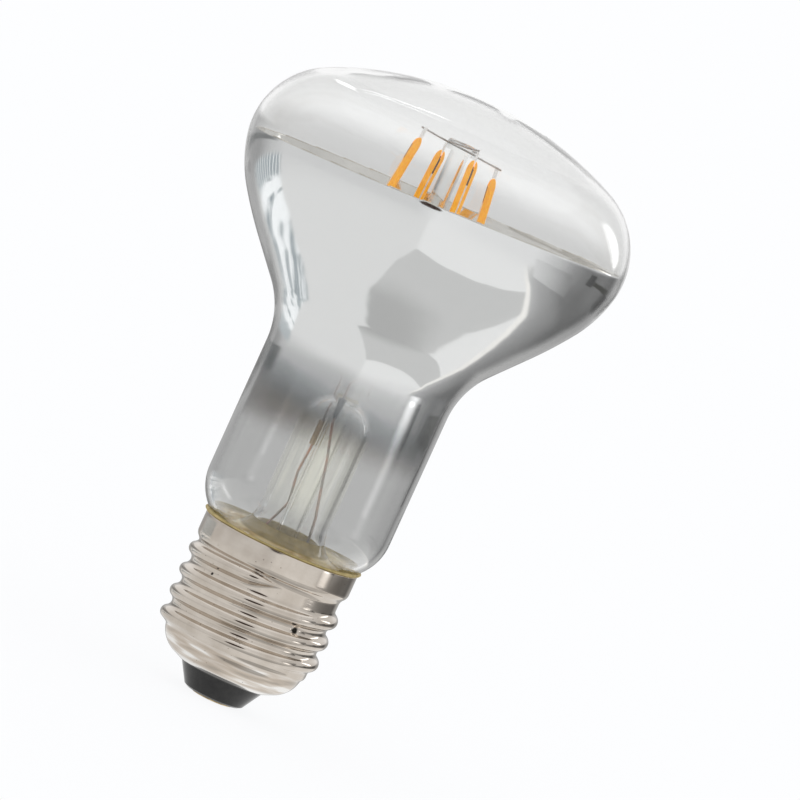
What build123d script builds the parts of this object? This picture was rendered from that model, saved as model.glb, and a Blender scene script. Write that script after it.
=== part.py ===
from build123d import *
import os
from math import acos, asin, cos, degrees, radians, sin

# Reflector bulb: a clear blown glass with a mirror inside its bowl, four LED strips on a glass
# stem, and a screw cap with the driver in it. Millimetres, +Z from the centre contact to the dome,
# -Y towards the viewer.

os.makedirs("parts", exist_ok=True)

# Bulb glass; the heights marked rise start at the cap's collar or at the widest circle
bulb_diameter = 63.0
rim_height = 85.3
rim_round = 13.1
dome_rise = 17.1
bowl_rim_turn = 12.6
bowl_shoulder_round = 21.3
bowl_shoulder_turn = 21.9
bowl_side_round = 70.5
bowl_side_turn = 6.4
flare_round = 13.5
neck_diameter = 30.7
neck_foot_rise = 6.6
glass_wall = 0.9
seal_diameter = 22.8

# Mirror on the inner wall
mirror_gap = 0.05
mirror_thickness = 0.1
mirror_edge_tilt = 2.0
mirror_foot_height = 41.5
mirror_trim_turn = 14.0

# Glass stem; its rises start at the sealing edge of the neck, at the shoulder or at the rim
stem_diameter = 11.5
stem_wall = 1.0
stem_flare_rise = 7.4
stem_flare_round = 5.0
stem_flare_turn = 75.0
stem_rise = 22.7
shoulder_round = 5.2
shoulder_turn = 75.0
shoulder_rise = 0.9
exhaust_diameter = 3.6
exhaust_bore = 2.4
exhaust_tip_drop = 4.6
exhaust_tip_wall = 1.0
exhaust_port_rise = 2.3
exhaust_port_diameter = 1.4
exhaust_port_heading = 75.0
column_diameter = 3.0
button_diameter = 5.0
button_height = 2.1
button_rise = 10.6
button_round = 0.5

# LED strips, numbered from left to right in the view, in the order met going round by quarter turns
strip_names = ("filament_1", "filament_2", "filament_4", "filament_3")
left_feet = ("filament_1", "filament_2")
right_feet = ("filament_4", "filament_3")
strip_heading = 199.4
strip_radius = 7.0
strip_lean = 7.2
strip_length = 28.0
strip_width = 1.25
strip_tip = 1.5
core_thickness = 0.25
phosphor_thickness = 0.68
terminal_length = 4.3
tab_width = 0.55
tab_drop = 1.8
tab_overrun = 0.3
foot_tab_length = 1.5

# Wires
bus_wire_diameter = 0.35
bus_wire_reach = 7.4
bus_wire_drop = 1.2
bus_wire_pitch = 0.5
bus_wire_long_rise = 0.6
bus_wire_short_dip = 0.3
crosswire_overrun = 0.5
lead_wire_diameter = 0.4
lead_bend_round = 1.2
lead_board_rise = 2.0
lead_exit_rise = 7.7
seal_run = 0.6
bead_diameter = 1.1
bead_length = 4.0
bead_drop = 3.7
sleeve_top_diameter = 1.2
sleeve_foot_diameter = 0.7
sleeve_length = 3.4
sleeve_rise = 1.7

# Where the lead wires pass through the shoulder, and their bends over the sealing edge
left_seal = (-2.2, 1.7)
right_seal = (-0.65, -2.6)
left_bends = [(-4.3, 1.4, 2.4), (-1.8, 1.6, 9.2), (-2.5, 1.7, 14.2)]
right_bends = [(3.7, -1.2, 2.4), (3.0, -2.0, 8.9), (2.1, -2.5, 12.8), (0.8, -2.7, 18.6)]

# Screw cap
thread_diameter = 26.15
root_diameter = 24.0
thread_pitch = 3.629
thread_turns = 3.52
thread_start_heading = 100.0
thread_start_height = 8.76
thread_bead_round = 1.2
shell_wall = 0.35
collar_diameter = 25.7
collar_foot = 23.6
collar_height = 3.1
collar_step_round = 1.5
thread_foot = 9.1
tuck_round = 1.0
tuck_turn = 45.0
dish_round = 4.6
dish_start = 12.0
dish_turn = 54.0
dish_lip = 1.65
punch_diameter = 0.9
punch_depth = 0.2
punch_height = 16.1
punch_heading = -52.3
cement_gap = 0.42
cement_lip_bulge = 0.47
cement_lip_height = 0.7

# Insulator and contact
insulator_foot_diameter = 9.6
insulator_foot_height = 0.3
insulator_foot_chamfer = 0.35
contact_diameter = 6.8
contact_thickness = 0.6
rivet_diameter = 2.2
rivet_bore = 1.4
rivet_rise = 0.5
solder_depth = 2.0

# Driver in the cap
board_width = 16.0
board_height = 9.0
board_thickness = 1.0
board_setback = 2.5
board_corner_round = 0.8
rectifier_width = 4.7
rectifier_height = 3.8
rectifier_thickness = 2.2
chip_width = 4.9
chip_height = 3.9
chip_thickness = 1.5
part_offset = 3.5
capacitor_diameter = 5.0
capacitor_length = 6.0
capacitor_offset = 5.0
resistor_diameter = 2.4
resistor_length = 5.0
resistor_rise = 1.5
component_wire_diameter = 0.6
component_wire_bend = 0.5
pad_length = 1.6
lead_pad_offset = 5.4
shell_pad_offset = 7.2
shell_wire_rise = 3.5
shell_wire_slope = 1.8

# Clearance left between pieces that touch
fit = 0.02

bulb_radius = bulb_diameter / 2
neck_radius = neck_diameter / 2
seal_radius = seal_diameter / 2
stem_radius = stem_diameter / 2
root_radius = root_diameter / 2
flare_turn = bowl_rim_turn + bowl_shoulder_turn + bowl_side_turn
lead_wire_radius = lead_wire_diameter / 2
bus_wire_radius = bus_wire_diameter / 2

# Heights from the cap up: the neck's sealing edge stands level with the collar's foot.
collar_top = collar_foot + collar_height
neck_foot_height = collar_top + neck_foot_rise
collar_radius = collar_diameter / 2
collar_bore_radius = collar_radius - shell_wall
shoulder_height = collar_foot + stem_rise
button_top = rim_height + button_rise

# The neck's foot curves in to pass the collar's rim with room for cement.
neck_foot_inset = neck_radius - (collar_bore_radius - cement_gap)
neck_foot_round = (neck_foot_inset**2 + neck_foot_rise**2) / (2 * neck_foot_inset)

# The dome is a sphere tangent to the rim's round.
rim_centre = bulb_radius - rim_round
dome_round = (dome_rise**2 + rim_centre**2 - rim_round**2) / (2 * (dome_rise - rim_round))
dome_turn = degrees(asin(rim_centre / (dome_round - rim_round)))


def heading(angle):
    """Level direction at this angle from +X."""
    return Vector(cos(radians(angle)), sin(radians(angle)), 0)


def write(piece, name):
    """Label a finished piece and write its STEP file."""
    piece.part.label = name
    export_step(piece.part, f"parts/{name}.step")


def dome_line(depth):
    """Meridian from the widest circle over the dome to the axis, this deep in the glass."""
    rim = JernArc((bulb_radius - depth, rim_height), (0, 1), rim_round - depth, 90 - dome_turn)
    return JernArc(rim @ 1, rim % 1, dome_round - depth, dome_turn)


def bowl_line(depth, foot_height):
    """Meridian from the widest circle down the bowl and flare to this height on the neck."""
    rim = JernArc((bulb_radius - depth, rim_height), (0, -1), rim_round - depth, -bowl_rim_turn)
    shoulder = JernArc(rim @ 1, rim % 1, bowl_shoulder_round - depth, -bowl_shoulder_turn)
    side = JernArc(shoulder @ 1, shoulder % 1, bowl_side_round - depth, -bowl_side_turn)
    flare_reach = (flare_round + depth) * (1 - cos(radians(flare_turn)))
    cone_reach = (side @ 1).X - (neck_radius - depth) - flare_reach
    cone = Line(side @ 1, side @ 1 + (side % 1) * (cone_reach / sin(radians(flare_turn))))
    flare = JernArc(cone @ 1, cone % 1, flare_round + depth, flare_turn)
    return Line(flare @ 1, (neck_radius - depth, foot_height))


def foot_line(depth):
    """Meridian of the neck's drawn-in foot and the straight sealing edge under it."""
    round_centre = neck_radius - neck_foot_round
    turn = acos((seal_radius - depth - round_centre) / (neck_foot_round - depth))
    start = (neck_radius - depth, neck_foot_height)
    foot = JernArc(start, (0, -1), neck_foot_round - depth, -degrees(turn))
    return Line(foot @ 1, (seal_radius - depth, collar_foot))


# Blown bulb glass, open at the sealing edge
with BuildPart() as glass_envelope:
    with BuildSketch(Plane.XZ):
        with BuildLine():
            outer_dome = dome_line(0)
            inner_dome = dome_line(glass_wall)
            bowl_line(0, neck_foot_height)
            bowl_line(glass_wall, neck_foot_height)
            outer_foot = foot_line(0)
            inner_foot = foot_line(glass_wall)
            Line(outer_dome @ 1, inner_dome @ 1)
            Line(outer_foot @ 1, inner_foot @ 1)
        make_face()
    revolve(axis=Axis.Z)
write(glass_envelope, "glass_envelope")

# Mirror coating, trimmed a little askew at the widest circle
mirror_outer = glass_wall + mirror_gap
mirror_inner = mirror_outer + mirror_thickness
mirror_normal = (-sin(radians(mirror_edge_tilt)), 0, cos(radians(mirror_edge_tilt)))
with BuildPart() as mirror_coating:
    with BuildSketch(Plane.XZ):
        with BuildLine():
            mirror_ends = []
            for depth in (mirror_outer, mirror_inner):
                widest = (bulb_radius - depth, rim_height)
                trim = JernArc(widest, (0, 1), rim_round - depth, mirror_trim_turn)
                mirror_ends.append((trim @ 1, bowl_line(depth, mirror_foot_height) @ 1))
            Line(mirror_ends[0][0], mirror_ends[1][0])
            Line(mirror_ends[0][1], mirror_ends[1][1])
        make_face()
    revolve(axis=Axis.Z)
    split(bisect_by=Plane(origin=(0, 0, rim_height), z_dir=mirror_normal), keep=Keep.BOTTOM)
write(mirror_coating, "mirror_coating")

# Bus wires: two straight wires that cross in the button, one just over the other
long_centre = Vector(0, 0, button_top - bus_wire_drop)
short_centre = long_centre + Vector(0, 0, bus_wire_pitch)
long_run = heading(strip_heading) * bus_wire_reach + Vector(0, 0, bus_wire_long_rise)
short_run = heading(strip_heading - 90) * bus_wire_reach - Vector(0, 0, bus_wire_short_dip)
bus_wires = {"bus_wire_long": (long_centre, long_run), "bus_wire_short": (short_centre, short_run)}
for name, (centre, run) in bus_wires.items():
    with BuildPart() as bus_wire:
        with BuildSketch(Plane(origin=centre, z_dir=run)):
            Circle(bus_wire_radius)
        extrude(amount=run.length, both=True)
    write(bus_wire, name)


def strip_plane(quarter):
    """Plane at a strip's upper tip: X outwards across the strip, Y round the bulb, Z up along it."""
    outward = heading(strip_heading - 90 * quarter)
    around = heading(strip_heading - 90 * quarter + 90)
    centre, run = bus_wires["bus_wire_long" if quarter % 2 == 0 else "bus_wire_short"]
    run_share = outward.dot(run) * strip_radius / bus_wire_reach**2
    wire_height = centre.Z + run.Z * run_share
    lean = radians(strip_lean)
    weld_offset = bus_wire_radius + core_thickness / 2 + fit
    origin = outward * strip_radius + around * weld_offset + Vector(0, 0, wire_height - tab_drop)
    upward = Vector(0, 0, cos(lean)) - outward * sin(lean)
    across = outward * cos(lean) + Vector(0, 0, sin(lean))
    return Plane(origin=origin, x_dir=across, z_dir=upward)


strip_planes = {strip: strip_plane(quarter) for quarter, strip in enumerate(strip_names)}


def along_strip(plane, distance):
    """Cross-section plane this far down the strip from its tip."""
    return plane.offset(-distance)


def tab(plane, free_end, neck, inner_end):
    """Flat terminal between the phosphor coats, with a narrow tail that runs out past the tip."""
    with BuildPart() as terminal:
        with BuildSketch(along_strip(plane, neck)):
            Rectangle(strip_width, core_thickness)
        extrude(amount=neck - inner_end)
        with BuildSketch(along_strip(plane, neck)):
            Rectangle(tab_width, core_thickness)
        extrude(amount=neck - free_end)
    return terminal


strip_end = strip_length - strip_tip
for strip, plane in strip_planes.items():
    with BuildPart() as core:
        with BuildSketch(along_strip(plane, terminal_length)):
            Rectangle(strip_width, core_thickness)
        extrude(amount=2 * terminal_length - strip_length)
    write(core, f"{strip}_core")

    outline = [
        (0, 0),
        (strip_width / 2, -strip_tip),
        (strip_width / 2, -strip_end),
        (0, -strip_length),
        (-strip_width / 2, -strip_end),
        (-strip_width / 2, -strip_tip),
    ]
    for side, name in ((1, "front"), (-1, "back")):
        face = side * (core_thickness / 2 + fit)
        crown = side * (core_thickness / 2 + phosphor_thickness)
        with BuildPart() as phosphor:
            with BuildSketch(plane):
                with BuildLine():
                    Line((-strip_width / 2, face), (strip_width / 2, face))
                    ThreePointArc((-strip_width / 2, face), (0, crown), (strip_width / 2, face))
                make_face()
            extrude(amount=-strip_length)
            with BuildSketch(Plane(origin=plane.origin, x_dir=plane.x_dir, z_dir=-plane.y_dir)):
                with BuildLine():
                    Polyline(*outline, close=True)
                make_face()
            extrude(amount=abs(crown), both=True, mode=Mode.INTERSECT)
        write(phosphor, f"{strip}_{name}_phosphor")

    top_tab = tab(plane, -tab_drop - tab_overrun, strip_tip, terminal_length - fit)
    write(top_tab, f"{strip}_top_tab")
    foot_tab = tab(plane, strip_length + foot_tab_length, strip_end, strip_length - terminal_length + fit)
    write(foot_tab, f"{strip}_foot_tab")


def foot_weld(strip):
    """Point just under a strip's foot tab, where its crosswire passes."""
    tip = along_strip(strip_planes[strip], strip_length + foot_tab_length).origin
    return tip - Vector(0, 0, lead_wire_radius + core_thickness)


# Lead wires rise from the driver board through the stem and meet a crosswire under two strip feet.
dish_top = thread_foot - tuck_round * (2 * sin(radians(tuck_turn)) - sin(radians(dish_start)))
board_foot = dish_top + (shell_wall + fit) * sin(radians(dish_start))
board_front = board_setback - board_thickness / 2
board_top = board_foot + board_height
pad_height = board_top - pad_length
pad_y = board_front - lead_wire_radius - fit
bead_foot = shoulder_height - bead_drop
sleeve_foot = shoulder_height + sleeve_rise


def lead_route(pad_x, bends, seal, seal_foot, feet):
    """Points of a lead wire from its pad on the board to the middle of its crosswire."""
    crosswire_middle = (foot_weld(feet[0]) + foot_weld(feet[1])) / 2
    return [
        (pad_x, pad_y, pad_height),
        (pad_x, pad_y, board_top + lead_board_rise),
        *[(x, y, collar_foot + rise) for x, y, rise in bends],
        (*seal, seal_foot - seal_run),
        (*seal, shoulder_height + lead_exit_rise),
        crosswire_middle - Vector(0, 0, lead_wire_diameter + fit),
    ]


lead_routes = {
    "lead_wire_left": lead_route(-lead_pad_offset, left_bends, left_seal, bead_foot, left_feet),
    "lead_wire_right": lead_route(lead_pad_offset, right_bends, right_seal, sleeve_foot, right_feet),
}
for name, route in lead_routes.items():
    with BuildPart() as lead_wire:
        with BuildLine() as path:
            FilletPolyline(*route, radius=lead_bend_round)
        with BuildSketch(Plane(origin=path.line @ 0, z_dir=path.line % 0)):
            Circle(lead_wire_radius)
        sweep()
    write(lead_wire, name)

for name, feet in (("crosswire_left", left_feet), ("crosswire_right", right_feet)):
    start = foot_weld(feet[0])
    run = foot_weld(feet[1]) - start
    overrun = run.normalized() * crosswire_overrun
    with BuildPart() as crosswire:
        with BuildSketch(Plane(origin=start - overrun, z_dir=run)):
            Circle(lead_wire_radius)
        extrude(amount=run.length + 2 * crosswire_overrun)
    write(crosswire, name)

# Seals on the lead wires
with BuildPart() as seal_bead_left:
    with BuildSketch(Plane.XY.offset(bead_foot)):
        with Locations(left_seal):
            Circle(bead_diameter / 2)
            Circle(lead_wire_radius + fit, mode=Mode.SUBTRACT)
    extrude(amount=bead_length)
write(seal_bead_left, "seal_bead_left")

with BuildPart() as seal_sleeve_right:
    with Locations((*right_seal, sleeve_foot)):
        Cone(
            sleeve_foot_diameter / 2,
            sleeve_top_diameter / 2,
            sleeve_length,
            align=(Align.CENTER, Align.CENTER, Align.MIN),
        )
        Hole(lead_wire_radius + fit)
write(seal_sleeve_right, "seal_sleeve_right")

# Glass stem: flared tube, shoulder, exhaust tube, column and button fused as one
flare_lip_radius = seal_radius - glass_wall - fit
stem_inner_radius = stem_radius - stem_wall
exhaust_radius = exhaust_diameter / 2
cavity_round = stem_inner_radius - exhaust_radius
cavity_spring = shoulder_height - stem_wall
stem_flare_height = collar_foot + stem_flare_rise
exhaust_tip_height = collar_foot - exhaust_tip_drop
exhaust_port_height = shoulder_height + exhaust_port_rise
button_foot = button_top - button_height
with BuildPart() as glass_stem:
    with BuildSketch(Plane.XZ):
        with BuildLine():
            shoulder = JernArc((stem_radius, shoulder_height), (0, 1), shoulder_round, shoulder_turn)
            shoulder_top = (shoulder @ 1).Y + shoulder_rise
            Polyline(shoulder @ 1, (column_diameter / 2, shoulder_top), (0, shoulder_top))
            cavity = JernArc((stem_inner_radius, cavity_spring), (0, 1), cavity_round, 90)
            Polyline(cavity @ 1, (0, (cavity @ 1).Y), (0, shoulder_top))
            lips = []
            for radius, top in ((stem_radius, shoulder_height), (stem_inner_radius, cavity_spring)):
                bend = (radius, stem_flare_height)
                flare_bend = stem_flare_round + stem_radius - radius
                Line((radius, top), bend)
                flare = JernArc(bend, (0, -1), flare_bend, stem_flare_turn)
                brim = (flare_lip_radius - (flare @ 1).X) / sin(radians(stem_flare_turn))
                lips.append(Line(flare @ 1, flare @ 1 + (flare % 1) * brim) @ 1)
            Line(*lips)
        make_face()
    revolve(axis=Axis.Z)
    exhaust_length = exhaust_port_height - exhaust_tip_height
    with Locations((0, 0, exhaust_tip_height)):
        Cylinder(exhaust_radius, exhaust_length, align=(Align.CENTER, Align.CENTER, Align.MIN))
    fillet(edges().sort_by(Axis.Z)[0], exhaust_tip_wall)
    with BuildSketch(Plane.XY.offset(exhaust_tip_height + exhaust_tip_wall)):
        Circle(exhaust_bore / 2)
    extrude(amount=exhaust_length - exhaust_tip_wall, mode=Mode.SUBTRACT)
    with BuildSketch(Plane(origin=(0, 0, exhaust_port_height), z_dir=heading(exhaust_port_heading))):
        Circle(exhaust_port_diameter / 2)
    extrude(amount=stem_radius, mode=Mode.SUBTRACT)
    with BuildSketch(Plane.XY.offset(shoulder_top)):
        Circle(column_diameter / 2)
    extrude(amount=button_foot - shoulder_top)
    with BuildSketch(Plane.XY.offset(button_foot)):
        Circle(button_diameter / 2)
    extrude(amount=button_height)
    fillet(edges().filter_by(GeomType.CIRCLE).sort_by(Axis.Z)[-1], button_round)
    for centre, run in bus_wires.values():
        with BuildSketch(Plane(origin=centre, z_dir=run)):
            Circle(bus_wire_radius + fit)
        extrude(amount=button_diameter, both=True, mode=Mode.SUBTRACT)
    with BuildSketch(Plane.XY.offset(cavity_spring)):
        with Locations(left_seal, right_seal):
            Circle(lead_wire_radius + fit)
    extrude(amount=shoulder_round + stem_wall, mode=Mode.SUBTRACT)
    with Locations((*right_seal, sleeve_foot - fit)):
        Cone(
            sleeve_foot_diameter / 2 + fit,
            sleeve_top_diameter / 2 + fit,
            sleeve_length + fit,
            align=(Align.CENTER, Align.CENTER, Align.MIN),
            mode=Mode.SUBTRACT,
        )
write(glass_stem, "glass_stem")


def dish_line(depth):
    """Meridian of the shell's rounded lower end, this deep in the sheet, out to its opening."""
    start_turn = radians(dish_start)
    tuck_reach = tuck_round * (1 + cos(start_turn) - 2 * cos(radians(tuck_turn)))
    start = Vector(root_radius - tuck_reach, dish_top)
    start += Vector(-cos(start_turn), sin(start_turn)) * depth
    dish = JernArc(start, (-sin(start_turn), -cos(start_turn)), dish_round - depth, -dish_turn)
    return Line(dish @ 1, dish @ 1 + (dish % 1) * dish_lip), start


def shell_line(depth):
    """Meridian of the shell's collar, thread root and lower end, this deep in the sheet."""
    step_turn = degrees(acos(1 - (collar_radius - root_radius) / (2 * collar_step_round)))
    collar = Line((collar_radius - depth, collar_top), (collar_radius - depth, collar_foot))
    step_in = JernArc(collar @ 1, collar % 1, collar_step_round - depth, -step_turn)
    step_out = JernArc(step_in @ 1, step_in % 1, collar_step_round + depth, step_turn)
    root = Line(step_out @ 1, (root_radius - depth, thread_foot))
    tuck_in = JernArc(root @ 1, root % 1, tuck_round - depth, -tuck_turn)
    JernArc(tuck_in @ 1, tuck_in % 1, tuck_round + depth, tuck_turn - dish_start)
    return collar @ 0, dish_line(depth)[0] @ 1


def thread_bead(radius):
    """Round bead of this radius along the thread, with rounded ends."""
    coil_radius = thread_diameter / 2 - thread_bead_round
    with BuildPart() as bead:
        with BuildLine() as coil:
            Helix(thread_pitch, thread_pitch * thread_turns, coil_radius)
        with BuildSketch(Plane.XZ):
            with Locations((coil_radius, 0)):
                Circle(radius)
        sweep(is_frenet=True)
        with Locations(coil.line @ 0, coil.line @ 1):
            Sphere(radius)
    return Pos(0, 0, thread_start_height) * Rot(0, 0, thread_start_heading) * bead.part


# Screw shell: thin rolled sheet, its thread pressed out from inside
thread_outside = thread_bead(thread_bead_round)
thread_inside = thread_bead(thread_bead_round - shell_wall)
with BuildPart() as screw_shell:
    with BuildSketch(Plane.XZ):
        with BuildLine():
            outer_ends = shell_line(0)
            inner_ends = shell_line(shell_wall)
            Line(outer_ends[0], inner_ends[0])
            Line(outer_ends[1], inner_ends[1])
        make_face()
    revolve(axis=Axis.Z)
    add(thread_outside)
    with BuildSketch(Plane.XY.offset(thread_foot)):
        Circle(root_radius - shell_wall)
    extrude(amount=collar_top - thread_foot, mode=Mode.SUBTRACT)
    add(thread_inside, mode=Mode.SUBTRACT)
    punch_face = heading(punch_heading) * (root_radius - punch_depth) + Vector(0, 0, punch_height)
    with BuildSketch(Plane(origin=punch_face, z_dir=heading(punch_heading))):
        Circle(punch_diameter / 2)
    extrude(amount=thread_bead_round, mode=Mode.SUBTRACT)
write(screw_shell, "screw_shell")

# Cement between the neck's foot and the collar, with a lip squeezed out over the rim
cement_radius = collar_bore_radius - fit
foot_centre = neck_radius - neck_foot_round
foot_radius = neck_foot_round + fit
rim_top = collar_top + fit
lip_top = rim_top + cement_lip_height
lip_turn = asin((neck_foot_height - lip_top) / foot_radius)
seal_turn = acos((seal_radius + fit - foot_centre) / foot_radius)
with BuildPart() as cap_cement:
    with BuildSketch(Plane.XZ):
        with BuildLine():
            glass_edge = (foot_centre + foot_radius * cos(lip_turn), lip_top)
            glass_slope = (-sin(lip_turn), -cos(lip_turn))
            bed = JernArc(glass_edge, glass_slope, foot_radius, -degrees(seal_turn - lip_turn))
            rim_edge = (collar_radius, rim_top)
            Polyline(
                bed @ 1,
                (seal_radius + fit, collar_foot),
                (cement_radius, collar_foot),
                (cement_radius, rim_top),
                rim_edge,
            )
            SagittaArc(rim_edge, glass_edge, -cement_lip_bulge)
        make_face()
    revolve(axis=Axis.Z)
write(cap_cement, "cap_cement")

# Black glass insulator, cast into the shell's lower end
contact_radius = contact_diameter / 2
insulator_foot_radius = insulator_foot_diameter / 2
with BuildPart() as cap_insulator:
    with BuildSketch(Plane.XZ):
        with BuildLine():
            lip, seat = dish_line(shell_wall + fit)
            Polyline(
                seat,
                (rivet_diameter / 2 + fit, seat.Y),
                (rivet_diameter / 2 + fit, contact_thickness + fit),
                (contact_radius + fit, contact_thickness + fit),
                (contact_radius + fit, insulator_foot_height),
                (insulator_foot_radius, insulator_foot_height),
                lip @ 1,
            )
        make_face()
    revolve(axis=Axis.Z)
    foot_edges = edges().filter_by(GeomType.CIRCLE).group_by(Axis.Z)[0]
    chamfer(foot_edges.sort_by(SortBy.RADIUS)[-1], insulator_foot_chamfer)
write(cap_insulator, "cap_insulator")

# Contact plate with the rivet tube that holds it, and the solder in the tube
with BuildPart() as centre_contact:
    with BuildSketch(Plane.XY):
        Circle(contact_radius)
    extrude(amount=contact_thickness)
    with BuildSketch(Plane.XY):
        Circle(rivet_diameter / 2)
    extrude(amount=board_foot + rivet_rise)
    with BuildSketch(Plane.XY):
        Circle(rivet_bore / 2)
    extrude(amount=board_foot + rivet_rise, mode=Mode.SUBTRACT)
write(centre_contact, "centre_contact")

with BuildPart() as contact_solder:
    with BuildSketch(Plane.XY):
        Circle(rivet_bore / 2 - fit)
    extrude(amount=solder_depth)
write(contact_solder, "contact_solder")

# Driver board standing on the insulator, with its parts
with BuildPart() as driver_board:
    with BuildSketch(Plane.XZ.offset(-board_setback)):
        with Locations((0, board_foot)):
            board = Rectangle(board_width, board_height, align=(Align.CENTER, Align.MIN))
        fillet(board.vertices().group_by(Axis.Y)[-1], board_corner_round)
    extrude(amount=board_thickness / 2, both=True)
write(driver_board, "driver_board")

board_back = board_setback + board_thickness / 2
board_middle = board_foot + board_height / 2
chips = {
    "rectifier": (-part_offset, rectifier_width, rectifier_height, rectifier_thickness),
    "driver_chip": (part_offset, chip_width, chip_height, chip_thickness),
}
for name, (offset_x, width, height, thickness) in chips.items():
    with BuildPart() as chip:
        with BuildSketch(Plane.XZ.offset(-board_back - fit)):
            with Locations((offset_x, board_middle)):
                Rectangle(width, height)
        extrude(amount=-thickness)
    write(chip, name)

capacitor_radius = capacitor_diameter / 2
with BuildPart() as smoothing_capacitor:
    with BuildSketch(Plane.XY.offset(board_foot + fit)):
        with Locations((-capacitor_offset, board_front - capacitor_radius - fit)):
            Circle(capacitor_radius)
    extrude(amount=capacitor_length)
write(smoothing_capacitor, "smoothing_capacitor")

resistor_foot = board_foot + resistor_rise
resistor_head = resistor_foot + resistor_length
resistor_bend_height = resistor_head + pad_length
with BuildPart() as fuse_resistor:
    with BuildSketch(Plane.XY.offset(resistor_foot)):
        Circle(resistor_diameter / 2)
    extrude(amount=resistor_length)
    fillet(edges(), component_wire_diameter)
    with BuildSketch(Plane.XY.offset(solder_depth + fit)):
        Circle(component_wire_diameter / 2)
    extrude(amount=resistor_foot - solder_depth)
    with BuildLine():
        FilletPolyline(
            (0, 0, resistor_head - fit),
            (0, 0, resistor_bend_height),
            (0, board_front - fit, resistor_bend_height),
            radius=component_wire_bend,
        )
    with BuildSketch(Plane.XY.offset(resistor_head - fit)):
        Circle(component_wire_diameter / 2)
    sweep()
write(fuse_resistor, "fuse_resistor")

# Wire from the board to the shell's inner wall
shell_wire_y = board_front - component_wire_diameter / 2 - fit
shell_wire_end = root_radius - shell_wall - component_wire_diameter
shell_wire_height = board_top + shell_wire_rise
with BuildPart() as shell_wire:
    with BuildLine() as path:
        FilletPolyline(
            (shell_pad_offset, shell_wire_y, pad_height),
            (shell_pad_offset, shell_wire_y, shell_wire_height - shell_wire_slope),
            (shell_wire_end, 0, shell_wire_height),
            radius=component_wire_bend,
        )
    with BuildSketch(Plane(origin=path.line @ 0, z_dir=path.line % 0)):
        Circle(component_wire_diameter / 2)
    sweep()
write(shell_wire, "shell_wire")
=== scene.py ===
from math import acos, asin, cos, degrees, pi, radians, sin, tan

import bmesh
import bpy
import numpy as np
from mathutils import Matrix, Vector, noise


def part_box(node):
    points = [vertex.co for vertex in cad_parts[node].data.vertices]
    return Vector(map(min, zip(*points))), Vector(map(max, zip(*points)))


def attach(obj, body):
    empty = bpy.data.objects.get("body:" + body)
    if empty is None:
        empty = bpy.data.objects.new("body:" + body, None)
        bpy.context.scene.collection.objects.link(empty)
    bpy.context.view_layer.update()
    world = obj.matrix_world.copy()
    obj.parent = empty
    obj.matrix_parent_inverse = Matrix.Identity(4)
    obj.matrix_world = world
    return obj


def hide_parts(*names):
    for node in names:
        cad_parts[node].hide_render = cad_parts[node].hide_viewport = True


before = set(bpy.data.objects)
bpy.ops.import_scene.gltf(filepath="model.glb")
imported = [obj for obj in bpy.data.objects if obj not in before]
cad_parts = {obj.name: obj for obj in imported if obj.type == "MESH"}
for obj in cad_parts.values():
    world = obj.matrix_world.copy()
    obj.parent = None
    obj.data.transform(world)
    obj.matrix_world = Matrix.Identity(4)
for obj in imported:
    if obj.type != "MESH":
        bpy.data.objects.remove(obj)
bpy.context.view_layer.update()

# Glass stem: a tube flared at its foot and drawn in at its shoulder over the exhaust tube, with a
# solid column and button on top, all fused from the same clear soda-lime glass as the bulb. It is
# melted to the neck's edge and carries the wires.
stem_low, stem_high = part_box("glass_stem")
exhaust_tip = stem_low.z
button_top = stem_high.z
button_radius = 0.0025
button_height = 0.0021
button_round = 0.0005
column_radius = 0.0015
shoulder_height = 0.0463
shoulder_round = 0.0052
shoulder_turn = 75.0
shoulder_rise = 0.0009
stem_radius = 0.00575
stem_wall = 0.001
flare_bend_height = 0.031
flare_bend_round = 0.005
flare_bend_turn = 75.0
flare_lip_radius = 0.01048
exhaust_radius = 0.0018
exhaust_bore = 0.0012
exhaust_bore_top = 0.0486
exhaust_tip_wall = 0.001
stem_segments = 128
stem_tint = (0.955, 0.955, 0.945, 1.0)
# The stem's haze is painted light: a faint glow in drawn streaks between these heights.
haze_foot = 0.0305
haze_top = 0.0484
haze_fade = 0.005
haze_fineness = 3.0
haze_streaks = (0.38, 0.62, 0.0, 2.0)
haze_glow_colour = (0.026, 0.0256, 0.0196)
glass_ior = 1.5
film_patches = 90.0
film_roughness = 0.035


def node(tree, kind, inputs=None, **fields):
    """Add a shader node, set its fields, and set or link its inputs by name or number."""
    made = tree.nodes.new("ShaderNode" + kind)
    for field, value in fields.items():
        setattr(made, field, value)
    for socket, value in (inputs or {}).items():
        if isinstance(value, bpy.types.NodeSocket):
            tree.links.new(value, made.inputs[socket])
        else:
            made.inputs[socket].default_value = value
    return made


def ramp(tree, value, stops):
    """Colour ramp over a value; stops are (place, grey or colour)."""
    made = node(tree, "ValToRGB", {"Fac": value})
    points = made.color_ramp.elements
    while len(points) < len(stops):
        points.new(0.5)
    for point, (place, colour) in zip(points, stops):
        point.position = place
        point.color = colour if isinstance(colour, tuple) else (colour, colour, colour, 1.0)
    return made.outputs["Color"]


def spread(tree, value, start, end, low=0.0, high=1.0):
    """Turn the range of a value into another range, held at its ends."""
    limits = {"Value": value, "From Min": start, "From Max": end, "To Min": low, "To Max": high}
    return node(tree, "MapRange", limits).outputs["Result"]


def both(tree, first, *others):
    """The part that masks share."""
    for other in others:
        first = node(tree, "Math", {0: first, 1: other}, operation="MULTIPLY").outputs[0]
    return first


def start_material(name):
    """A new material's node tree, emptied, with its output and Object coordinates."""
    material = bpy.data.materials.new(name)
    material.use_nodes = True
    tree = material.node_tree
    tree.nodes.clear()
    return material, tree, node(tree, "TexCoord").outputs["Object"]


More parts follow.
